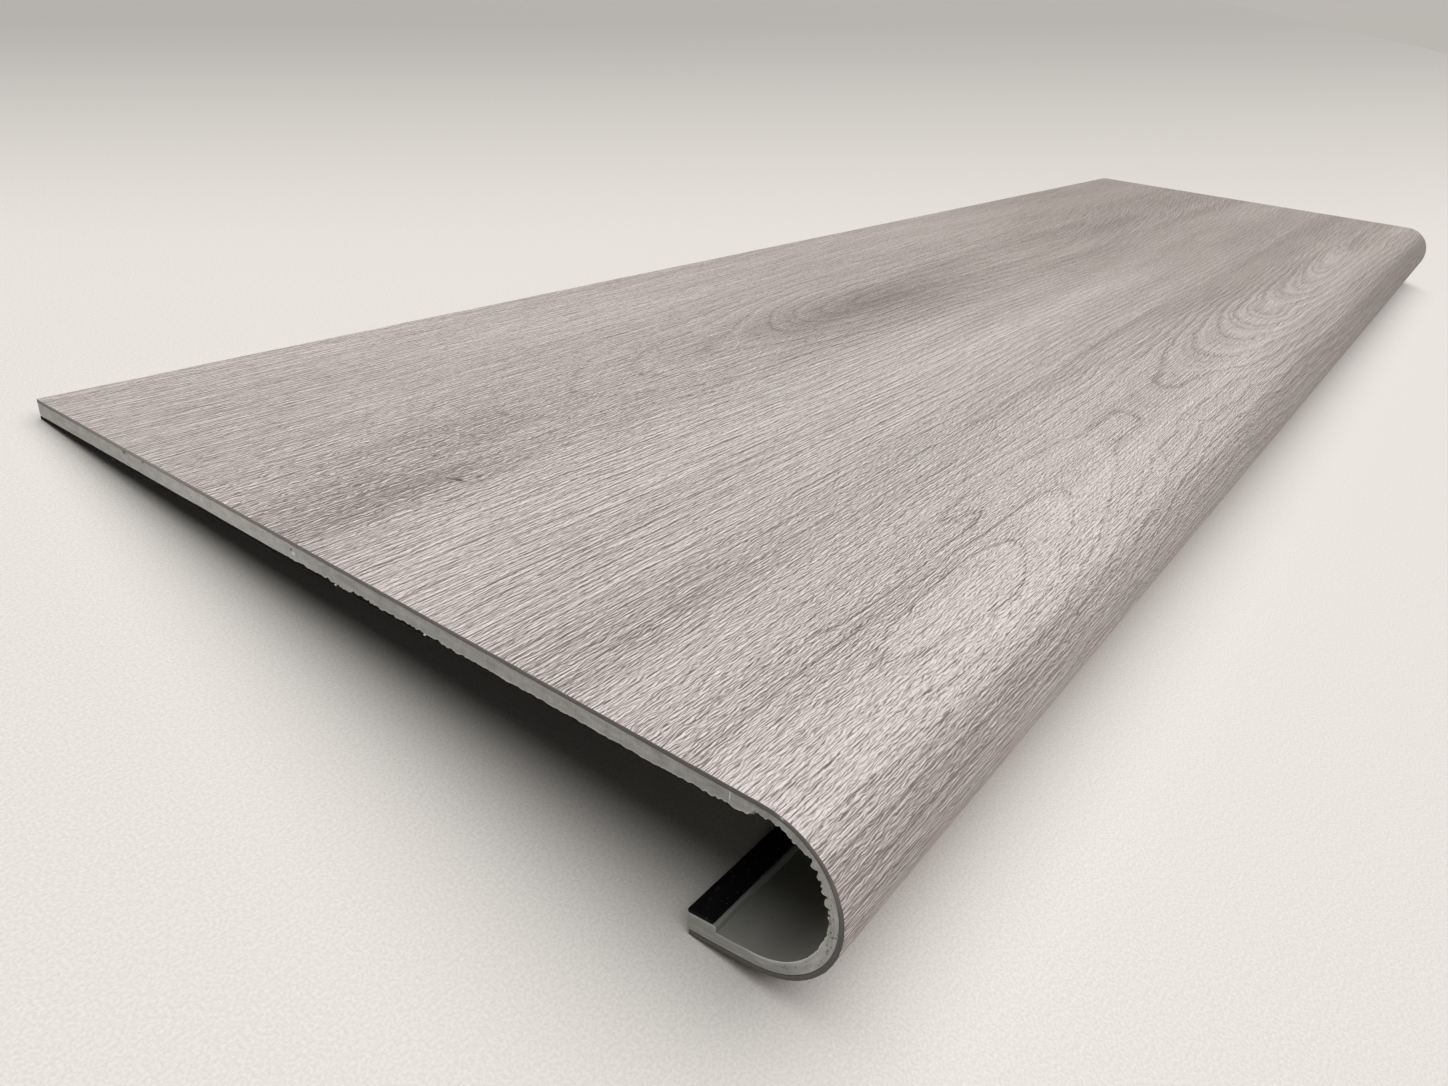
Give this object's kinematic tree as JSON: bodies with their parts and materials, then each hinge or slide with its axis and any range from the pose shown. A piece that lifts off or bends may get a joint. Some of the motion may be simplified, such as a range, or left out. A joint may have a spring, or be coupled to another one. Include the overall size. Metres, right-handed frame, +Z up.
{
  "type": "stair tread",
  "caption": "Wood-look vinyl stair tread: a flat laminated board whose front is bent round into a hooked bullnose with a short return lip.",
  "frame": {"origin": "on the floor, under the middle of the tread's length and depth as it lies at rest", "axes": "+X along the tread's length, across the stair; -Y towards the nose and +Y towards the back edge; +Z up. The board is tipped back 7.74 degrees about X, as it lies unheld"},
  "size_m": [1.2, 0.3502, 0.052],
  "materials": {
    "oak_print_vinyl": "embossed grey oak print, satin",
    "mineral_core": "dull mineral-filled plastic, saw-cut at the ends",
    "black_foam": "fine closed-cell foam, matt"
  },
  "bodies": {
    "root": {"vinyl_face": "oak_print_vinyl", "rigid_core": "mineral_core", "tread_underlay": "black_foam", "lip_underlay": "black_foam"}
  },
  "joints": []
}
